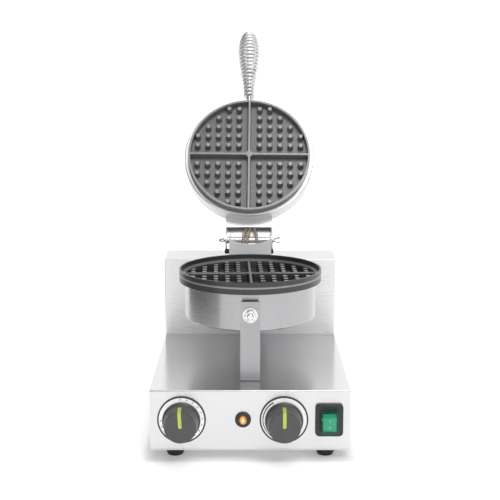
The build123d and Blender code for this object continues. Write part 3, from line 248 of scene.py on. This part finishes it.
def coated_iron(name, dark, pale, worn, rough, sheen, coordinates, band):
    """Cast aluminium under a speckled non-stick coat, worn paler on the faces that meet the other iron."""
    material = shader(name, Coat_Weight=sheen, Coat_Roughness=0.3, Specular_IOR_Level=0.7)
    tree = material.node_tree
    height = add(tree, "ShaderNodeSeparateXYZ", {"Vector": coordinates(tree)}).outputs["Z"]
    low, high = band
    above = ranged(tree, height, 0.0, 1.0, low - 0.0002, low)
    below = ranged(tree, height, 1.0, 0.0, high, high + 0.0004)
    patchy = ranged(tree, noise(tree, place(tree), 240.0, 3.0), 0.75, 1.0)
    wear = math_node(tree, "MULTIPLY", math_node(tree, "MULTIPLY", above, below), patchy)
    speckle = noise(tree, place(tree), 2600.0, 2.0)
    cast = noise(tree, place(tree), 320.0, 4.0)
    coat_tone = ramp(tree, speckle, [(0.35, dark), (0.72, pale)])
    tone = blended(tree, wear, coat_tone, worn)
    roughness = ranged(tree, cast, *rough)
    metal = math_node(tree, "MULTIPLY", wear, 0.4)
    normal = bump(tree, cast, 0.08, 0.0002)
    return wire(material, Base_Color=tone, Roughness=roughness, Metallic=metal, Normal=normal)


def moulded(name, dark, pale, rough, fine=3000.0, **values):
    """Moulded plastic or rubber with a fine spark-eroded grain."""
    material = shader(name, **values)
    tree = material.node_tree
    grain = noise(tree, place(tree), fine, 2.0)
    patch = noise(tree, place(tree), 60.0, 2.0)
    tone = ramp(tree, patch, [(0.3, dark), (0.7, pale)])
    roughness = ranged(tree, grain, *rough)
    return wire(material, Base_Color=tone, Roughness=roughness, Normal=bump(tree, grain, 0.2, 0.00006))


def felt(name, dark, pale):
    material = shader(name, Roughness=0.95, Sheen_Weight=0.3)
    tree = material.node_tree
    fibre = noise(tree, stretched(tree, place(tree), felt_fibre), 1.0, 5.0, 0.7)
    tone = ramp(tree, fibre, [(0.3, dark), (0.7, pale)])
    return wire(material, Base_Color=tone, Normal=bump(tree, fibre, 0.6, 0.0006))


def dial_plate(name, node, face):
    """A printed aluminium disc with a dark raised border."""
    material = shader(name, Coat_Weight=0.3, Coat_Roughness=0.15, Emission_Color=(1, 1, 1, 1))
    tree = material.node_tree
    out = from_middle(tree, node, (1, 0, 1))
    edge = half_width(node) - dial_border
    border = ranged(tree, out, 0.0, 1.0, edge - 0.0001, edge + 0.0001)
    grain = noise(tree, stretched(tree, place(tree), dial_grain), 1.0, 2.0)
    soft = tuple(part * 0.93 for part in face)
    tone = blended(tree, border, ramp(tree, grain, [(0.3, soft), (0.7, face)]), dial_border_ink)
    # Painted light: the face glows faintly, the dark border not at all.
    painted_face_glow = ranged(tree, border, 0.35, 0.0, 0.0, 1.0)
    return wire(material, Base_Color=tone, Roughness=ranged(tree, grain, 0.28, 0.36), Emission_Strength=painted_face_glow)


def lens(name, node):
    """A moulded amber lens: pale where the lamp stands behind it, brown towards its rim."""
    material = shader(name, Transmission_Weight=0.2, Coat_Weight=0.5, Coat_Roughness=0.05)
    tree = material.node_tree
    out = from_middle(tree, node, (1, 0, 0.6))
    uneven = 0.12
    facet = ranged(tree, noise(tree, place(tree), 900.0, 1.0), -uneven, uneven)
    reach = math_node(tree, "ADD", ranged(tree, out, 0.0, 1.0, 0.0, half_width(node)), facet)
    lit, amber_tone, brown = (1.0, 0.80, 0.50), (0.90, 0.40, 0.08), (0.30, 0.13, 0.04)
    tone = ramp(tree, reach, [(0.10, lit), (0.45, amber_tone), (0.9, brown)])
    shine = ranged(tree, reach, 0.55, 0.05, 0.0, 0.9)
    roughness = ranged(tree, facet, 0.12, 0.22, -uneven, uneven)
    return wire(material, Base_Color=tone, Emission_Color=tone, Emission_Strength=shine, Roughness=roughness)


def around_lower(tree):
    return wrapped(tree, iron_centre)


def around_lid(tree):
    return wrapped(tree, iron_centre, lid_swing)


# Painted light and shade: one stainless steel is copied with a different colour and metal share for each
# part; the housing, the lid bracket and the hinge bracket are painted lighter than the sheet, the drums and
# the front strap darker.
steel = brushed_steel("stainless_sheet", top_shade_share=0.82)
steel_housing = brushed_steel("stainless_housing", (0.98, 0.98, 0.99), (0.26, 0.32), metallic=0.5,
                              top_shade_share=0.82)
steel_round = brushed_steel("stainless_drum", (0.50, 0.50, 0.51), (0.24, 0.28), around_lower, smear=0.7,
                            metallic=1.0)
steel_lid = brushed_steel("stainless_lid_drum", (0.72, 0.72, 0.73), (0.30, 0.36), around_lid, smear=0.0,
                          metallic=1.0)
steel_strap = brushed_steel("stainless_strap", (0.46, 0.46, 0.47), (0.26, 0.32), smear=0.7, metallic=1.0)
steel_bracket = brushed_steel("stainless_bracket", (0.92, 0.92, 0.93), (0.30, 0.36), smear=0.0, metallic=0.8)
# Painted light: nearly white and barely metal, so the hinge bracket looks brightly lit.
steel_painted_pale = brushed_steel("stainless_painted_pale", (0.96, 0.96, 0.97), (0.60, 0.66), smear=0.0, metallic=0.1)
nickel = bright_metal("nickel", (0.84, 0.83, 0.82))
coil_wire = bright_metal("coil_wire", (0.95, 0.95, 0.95), (0.34, 0.44))
zinc = bright_metal("zinc", (0.66, 0.66, 0.65), (0.28, 0.42))
tinted = bright_metal("heater_sheath", (0.38, 0.34, 0.31), (0.35, 0.5), 90.0)
copper = bright_metal("drawn_copper", (0.78, 0.46, 0.32), (0.25, 0.35))
lower_iron = coated_iron("dark_iron", (0.018, 0.018, 0.019), (0.042, 0.042, 0.044), (0.34, 0.34, 0.34),
                         (0.34, 0.46), 0.2, around_lower, lower_worn)
# Painted light: the lid iron carries the same coat as the lower iron, painted in lighter tones.
lid_iron = coated_iron("grey_iron", (0.10, 0.10, 0.102), (0.17, 0.17, 0.173), (0.26, 0.26, 0.26),
                       (0.30, 0.38), 0.5, around_lid, lid_worn)
rubber = moulded("foot_rubber", (0.010, 0.010, 0.011), (0.020, 0.020, 0.021), (0.55, 0.7))
black = moulded("black_plastic", (0.030, 0.030, 0.031), (0.042, 0.042, 0.044), (0.3, 0.42))
knob_grey = moulded("knob_plastic", (0.080, 0.080, 0.082), (0.095, 0.095, 0.097), (0.26, 0.34), 2200.0)
lime = moulded("lime_inlay", (0.56, 0.66, 0.05), (0.68, 0.76, 0.10), (0.25, 0.35), 2200.0)
sleeve_black = moulded("black_sleeve", (0.008, 0.008, 0.008), (0.016, 0.016, 0.016), (0.2, 0.3))
white_ceramic = moulded("ceramic", (0.74, 0.71, 0.64), (0.82, 0.80, 0.75), (0.5, 0.65), 900.0)
mineral = felt("mineral_felt", (0.60, 0.57, 0.50), (0.80, 0.77, 0.70))
timer_plate = dial_plate("timer_dial_plate", "timer_dial", (0.97, 0.97, 0.97))
heat_plate = dial_plate("thermostat_dial_plate", "thermostat_dial", (0.90, 0.90, 0.91))
green = moulded("green_rocker", (0.05, 0.52, 0.27), (0.08, 0.62, 0.34), (0.15, 0.25), 1500.0,
                Coat_Weight=0.5, Emission_Color=(0.04, 0.55, 0.28, 1), Emission_Strength=0.45)
clear_green = moulded("clear_green", (0.02, 0.20, 0.11), (0.03, 0.25, 0.15), (0.06, 0.10), 900.0,
                      Coat_Weight=0.4, IOR=1.3, Alpha=0.26)
amber = lens("amber_lens", "pilot_lamp_lens")

finishes = {
    "base_shell bottom_plate rear_cover": steel,
    "rear_housing": steel_housing,
    "front_support": steel_strap,
    "lower_drum": steel_round,
    "hinge_base_bracket": steel_painted_pale,
    "lid_drum lid_cover": steel_lid,
    "lid_bracket": steel_bracket,
    "lower_plate": lower_iron,
    "lid_plate": lid_iron,
    "front_support_nut front_support_washer front_support_bolt hinge_sleeve hinge_split_pin": nickel,
    "stop_rod handle_collar handle_rod handle_nut": nickel,
    "handle_coil": coil_wire,
    "case_screws foot_screws bracket_screws drum_rear_screws lid_bracket_screws": zinc,
    "lower_clamp_screws lower_tie_bolt lower_heater_clamp": zinc,
    "lid_clamp_screws lid_tie_bolt lid_heater_clamp": zinc,
    "front_support_spacer timer_shaft thermostat_shaft hinge_conduits": zinc,
    "lower_heater lid_heater": tinted,
    "thermostat_probe": copper,
    "lower_insulation lid_insulation": mineral,
    "rubber_feet": rubber,
    "stop_sleeves": sleeve_black,
    "pilot_lamp_bezel switch_housing cable_gland timer_body": black,
    "terminal_block thermostat_body": white_ceramic,
    "timer_knob thermostat_knob": knob_grey,
    "timer_pointer thermostat_pointer": lime,
    "timer_dial": timer_plate,
    "thermostat_dial": heat_plate,
    "pilot_lamp_lens": amber,
    "switch_rocker": green,
    "switch_boot": clear_green,
}
for names, finish in finishes.items():
    for name in names.split():
        mesh = nodes[name].data
        mesh.materials.clear()
        mesh.materials.append(finish)


# Printed marks

ink = moulded("black_ink", (0.012, 0.012, 0.012), (0.020, 0.020, 0.020), (0.4, 0.5), 900.0)
# Painted light: the white ink on the rocker glows faintly.
white_ink_painted_glow = moulded("white_ink_painted_glow", (0.80, 0.82, 0.80), (0.88, 0.90, 0.88), (0.3, 0.4), 900.0,
                    Emission_Color=(0.8, 1, 0.9, 1), Emission_Strength=0.4)
print_lift = 0.00006
print_reach = 0.1
thinnest_line = 0.0001
mark_circle = 0.0262
off_mark = (0.0006, 0.0024)
timer_zero = math.radians(-3)
timer_step = math.radians(18)
timer_dots = 15
dot_radius = 0.00085
zero_ring = (0.0009, 0.00125)
zero_line = 0.00042
heat_circle = 0.0268
heat_start = math.radians(100)
heat_end = math.radians(330)
heat_widest = 0.0016
switch_mark_gap = 0.0046
switch_bar = (0.0007, 0.0030)
switch_ring = (0.0016, 0.0016)
switch_line = 0.0005


def new_piece(name, mesh, material, body=None):
    piece = bpy.data.objects.new(name, mesh)
    bpy.context.collection.objects.link(piece)
    mesh.materials.append(material)
    if body:
        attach(piece, body)
    return piece


def full_turn(steps):
    """Angles round a circle, the last the same place as the first."""
    return [2 * math.pi * k / steps for k in range(steps + 1)]


def disc(x, z, radius):
    return [[(x + radius * math.cos(turn), z + radius * math.sin(turn)) for turn in full_turn(16)[:-1]]]


def oval(x, z, reach_x, reach_z, line):
    """A ring drawn with an even line, as four-sided faces."""
    faces = []
    turns = full_turn(24)
    for a, b in zip(turns, turns[1:]):
        faces.append([(x + (reach_x - inset) * math.cos(turn), z + (reach_z - inset) * math.sin(turn))
                      for turn, inset in ((a, 0), (b, 0), (b, line), (a, line))])
    return faces


def bar(x, z, width, height):
    corners = ((-1, -1), (1, -1), (1, 1), (-1, 1))
    return [[(x + right * width / 2, z + up * height / 2) for right, up in corners]]


def on_dial(centre, radius, turn):
    """A place on a dial, its turn clockwise from the top."""
    return centre.x + radius * math.sin(turn), centre.z + radius * math.cos(turn)


def wedge(centre, radius, start, end, widest):
    """An arc that widens from a hairline as it turns."""
    steps = 40
    pairs = []
    for k in range(steps + 1):
        turn = start + (end - start) * k / steps
        inner = radius - widest * k / steps - thinnest_line
        pairs.append((on_dial(centre, radius, turn), on_dial(centre, inner, turn)))
    return [[a[0], b[0], b[1], a[1]] for a, b in zip(pairs, pairs[1:])]


def printed(name, node, body, faces, material):
    """Ink on the front of a node: each corner lies on the surface, half sunk and half a hair proud."""
    mesh = nodes[node].data
    surface = BVHTree.FromPolygons([v.co for v in mesh.vertices], [list(f.vertices) for f in mesh.polygons])
    shape = bmesh.new()
    inwards = Vector((0, 1, 0))
    for face in faces:
        corners = [surface.ray_cast(Vector((x, front_y - print_reach, z)), inwards)[0] for x, z in face]
        front = [shape.verts.new(corner - inwards * print_lift) for corner in corners]
        back = [shape.verts.new(corner + inwards * print_lift) for corner in corners]
        shape.faces.new(front)
        shape.faces.new(back[::-1])
        for k in range(len(face)):
            following = (k + 1) % len(face)
            shape.faces.new((front[following], front[k], back[k], back[following]))
    bmesh.ops.recalc_face_normals(shape, faces=shape.faces)
    ink_mesh = bpy.data.meshes.new(name)
    shape.to_mesh(ink_mesh)
    shape.free()
    return new_piece(name, ink_mesh, material, body)


def dial_marks():
    timer = middle("timer_dial")
    faces = oval(*on_dial(timer, mark_circle, timer_zero), *zero_ring, zero_line)
    for k in range(1, timer_dots + 1):
        faces += disc(*on_dial(timer, mark_circle, timer_zero + k * timer_step), dot_radius)
    printed("timer_dial_marks", "timer_dial", "base", faces, ink)
    heat = middle("thermostat_dial")
    faces = bar(heat.x, heat.z + mark_circle, *off_mark)
    faces += wedge(heat, heat_circle, heat_start, heat_end, heat_widest)
    printed("thermostat_dial_marks", "thermostat_dial", "base", faces, ink)
    rocker = middle("switch_rocker")
    faces = bar(rocker.x, rocker.z + switch_mark_gap, *switch_bar)
    faces += oval(rocker.x, rocker.z - switch_mark_gap, *switch_ring, switch_line)
    printed("switch_marks", "switch_rocker", "rocker", faces, white_ink_painted_glow)


# Conduits

# The route as points behind and above the hinge's centre, and each tube's place sideways at its foot
# and at its head
conduit_route = ((-0.0174, -0.0409), (-0.0184, 0.0015), (-0.0094, 0.0122), (0.0056, 0.0112), (0.0214, 0.0077),
                 (0.0324, 0.0207))
conduit_foot_x = (-0.0106, -0.0049, 0.0101)
conduit_head_x = (-0.0046, 0.0005, 0.0056)
conduit_radius = 0.0021
braid_depth = 0.0001
braid_strands = 8
braid_pitch = 0.0075
conduit_sides = 32
conduit_ring_step = 0.00035


def smooth_line(points):
    """Points along the NURBS line that the route guides."""
    curve = bpy.data.curves.new("route", "CURVE")
    curve.dimensions = "3D"
    curve.resolution_u = 24
    spline = curve.splines.new("NURBS")
    spline.points.add(len(points) - 1)
    for guide_point, point in zip(spline.points, points):
        guide_point.co = (*point, 1)
    spline.order_u = 3
    spline.use_endpoint_u = True
    guide = bpy.data.objects.new("route", curve)
    mesh = bpy.data.meshes.new_from_object(guide)
    line = [vertex.co.copy() for vertex in mesh.vertices]
    bpy.data.objects.remove(guide)
    bpy.data.meshes.remove(mesh)
    return line


def even_line(line, step):
    """The same line with its points a step apart."""
    even = [line[0]]
    carried = 0.0
    for a, b in zip(line, line[1:]):
        length = (b - a).length
        at = step - carried
        while at < length:
            even.append(a.lerp(b, at / length))
            at += step
        carried = length - (at - step)
    return even


def braided(name, points, material):
    """A tube whose surface is raised in two crossing families of strands, over and under in turn."""
    line = even_line(smooth_line(points), conduit_ring_step)
    shape = bmesh.new()
    rings = []
    side = Vector((1, 0, 0))
    for k, centre in enumerate(line):
        ahead = (line[min(k + 1, len(line) - 1)] - line[max(k - 1, 0)]).normalized()
        side = (side - ahead * side.dot(ahead)).normalized()
        up = ahead.cross(side)
        along = k * conduit_ring_step / braid_pitch * braid_strands
        ring = []
        for j in range(conduit_sides):
            turn = j / conduit_sides
            first = turn * braid_strands + along
            second = turn * braid_strands - along
            over = (math.floor(first) + math.floor(second)) % 2
            raised = abs(math.sin(math.pi * (first if over else second)))
            reach = conduit_radius - braid_depth * (1 - raised)
            angle = 2 * math.pi * turn
            ring.append(shape.verts.new(centre + (side * math.cos(angle) + up * math.sin(angle)) * reach))
        rings.append(ring)
    for low, high in zip(rings, rings[1:]):
        for j in range(conduit_sides):
            following = (j + 1) % conduit_sides
            shape.faces.new((low[j], low[following], high[following], high[j])).smooth = True
    shape.faces.new(rings[0][::-1])
    shape.faces.new(rings[-1])
    mesh = bpy.data.meshes.new(name)
    shape.to_mesh(mesh)
    shape.free()
    return new_piece(name, mesh, material)


def conduits():
    """Woven sleeves along a bent route past the hinge, drawn in one pose."""
    braid = moulded("woven_sleeve", (0.36, 0.27, 0.20), (0.52, 0.41, 0.32), (0.25, 0.4), 900.0,
                    Coat_Weight=0.8, Coat_Roughness=0.12)
    last = len(conduit_route) - 1
    for number, (foot_x, head_x) in enumerate(zip(conduit_foot_x, conduit_head_x), 1):
        points = []
        for k, (behind, above) in enumerate(conduit_route):
            lean = max(k - 1, 0) / (last - 1)
            points.append((foot_x + (head_x - foot_x) * lean, hinge.y + behind, hinge.z + above))
        piece = braided("conduit_braid_" + str(number), points, braid)
        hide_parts("hinge_conduits")
        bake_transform(piece)


# Floor, backdrop and light

world_strength = 0.36
# Name, place, aim, size and power of each light
lights = (("key", (0.45, -0.85, 1.75), (0, 0.1, 0.35), (1.3, 0.9), 12.0),
          ("top", (0.0, 0.6, 2.4), (0, 0, 0.2), (2.0, 2.0), 14.0))
flag_place = Vector((-0.62, -0.1, 0.35))
flag_size = (1.0, 0.7)
# The floor's glow grows between two distances from the case, so that it paints a contact shadow close to the
# case, and again between two far from it
near_start, near_end, near_glow = 0.008, 0.018, 0.46
far_start, far_end, far_glow = 0.5, 1.5, 0.25


def stage_sheet():
    """A floor that curves up into a backdrop far behind the part. It glows except close to the case."""
    half, front, rear, radius, top = 6.0, -3.0, 3.5, 1.5, 5.0
    profile = [(front, 0.0)]
    steps = 16
    for k in range(steps + 1):
        turn = math.pi / 2 * k / steps
        profile.append((rear + radius * math.sin(turn), radius * (1 - math.cos(turn))))
    profile.append((rear + radius, top))
    mesh = bpy.data.meshes.new("backdrop")
    shape = bmesh.new()
    rows = [[shape.verts.new((x, y, z)) for x in (-half, half)] for y, z in profile]
    for low, high in zip(rows, rows[1:]):
        shape.faces.new((low[0], low[1], high[1], high[0])).smooth = True
    shape.to_mesh(mesh)
    shape.free()
    sheet = bpy.data.objects.new("backdrop", mesh)
    bpy.context.collection.objects.link(sheet)
    material = shader("backdrop_paper", Roughness=0.9, Emission_Color=(1, 1, 1, 1))
    tree = material.node_tree
    fibre = noise(tree, place(tree), 40.0, 2.0)
    moved = vector_math(tree, "SUBTRACT", place(tree), middle("base_shell"))
    past = vector_math(tree, "SUBTRACT", vector_math(tree, "ABSOLUTE", moved), (case_high - case_low) / 2)
    away = vector_math(tree, "LENGTH", vector_math(tree, "MAXIMUM", past))
    # Painted contact shadow: the floor's glow falls away close to the case.
    near = ranged(tree, away, 0.0, near_glow, near_start, near_end)
    far = ranged(tree, away, 0.0, far_glow, far_start, far_end)
    paper = ramp(tree, fibre, [(0.3, (0.90, 0.90, 0.90)), (0.7, (0.92, 0.92, 0.92))])
    wire(material, Base_Color=paper, Emission_Strength=math_node(tree, "ADD", near, far))
    mesh.materials.append(material)


def card(name, centre, size):
    """A dark upright card beside the part, seen only where steel mirrors it."""
    mesh = bpy.data.meshes.new(name)
    corners = [(centre.x, y, z) for y, z in bar(centre.y, centre.z, *size)[0]]
    mesh.from_pydata(corners, [], [(0, 1, 2, 3)])
    board = bpy.data.objects.new(name, mesh)
    bpy.context.collection.objects.link(board)
    material = shader("flag_cloth", Roughness=0.9)
    tree = material.node_tree
    weave = noise(tree, place(tree), 300.0, 2.0)
    wire(material, Base_Color=ramp(tree, weave, [(0.3, (0.02, 0.02, 0.02)), (0.7, (0.03, 0.03, 0.03))]))
    mesh.materials.append(material)
    board.visible_camera = False
    board.visible_diffuse = False
    board.visible_shadow = False


def soft_light(name, location, target, size, power):
    """A broad lamp turned towards its target."""
    light = bpy.data.lights.new(name, "AREA")
    light.shape = "RECTANGLE"
    light.size, light.size_y = size
    light.energy = power
    lamp = bpy.data.objects.new(name, light)
    lamp.location = location
    lamp.rotation_euler = (Vector(target) - Vector(location)).to_track_quat("-Z", "Y").to_euler()
    bpy.context.collection.objects.link(lamp)


def surroundings():
    """Plain light from all round: darker on the left and overhead, brighter in front."""
    world = bpy.data.worlds.new("studio")
    world.use_nodes = True
    tree = world.node_tree
    direction = add(tree, "ShaderNodeTexCoord").outputs["Generated"]
    parts = add(tree, "ShaderNodeSeparateXYZ", {"Vector": direction})
    left = ranged(tree, parts.outputs["X"], 0.35, 1.0, -0.9, -0.4)
    ahead = ranged(tree, parts.outputs["Y"], 1.9, 1.0, -0.9, -0.3)
    roof = ranged(tree, parts.outputs["Z"], 1.0, 0.55, 0.45, 0.8)
    strength = math_node(tree, "MULTIPLY", math_node(tree, "MULTIPLY", left, ahead), roof)
    background = tree.nodes["Background"]
    background.inputs["Color"].default_value = (1, 1, 1, 1)
    tree.links.new(math_node(tree, "MULTIPLY", strength, world_strength), background.inputs["Strength"])
    bpy.context.scene.world = world
    bpy.context.scene.view_settings.view_transform = "Standard"


def studio():
    surroundings()
    for light in lights:
        soft_light(*light)
    card("flag", flag_place, flag_size)
    stage_sheet()


def camera():
    data = bpy.data.cameras.new("photograph")
    data.lens = camera_lens
    data.sensor_width = camera_sensor
    data.clip_end = 50.0
    view = bpy.data.objects.new("photograph", data)
    view.location = camera_offset + Vector((0, front_y, case_low.z))
    view.rotation_euler = (math.pi / 2 - camera_pitch, 0, 0)
    bpy.context.collection.objects.link(view)
    bpy.context.scene.camera = view


camera()
studio()
dial_marks()
conduits()
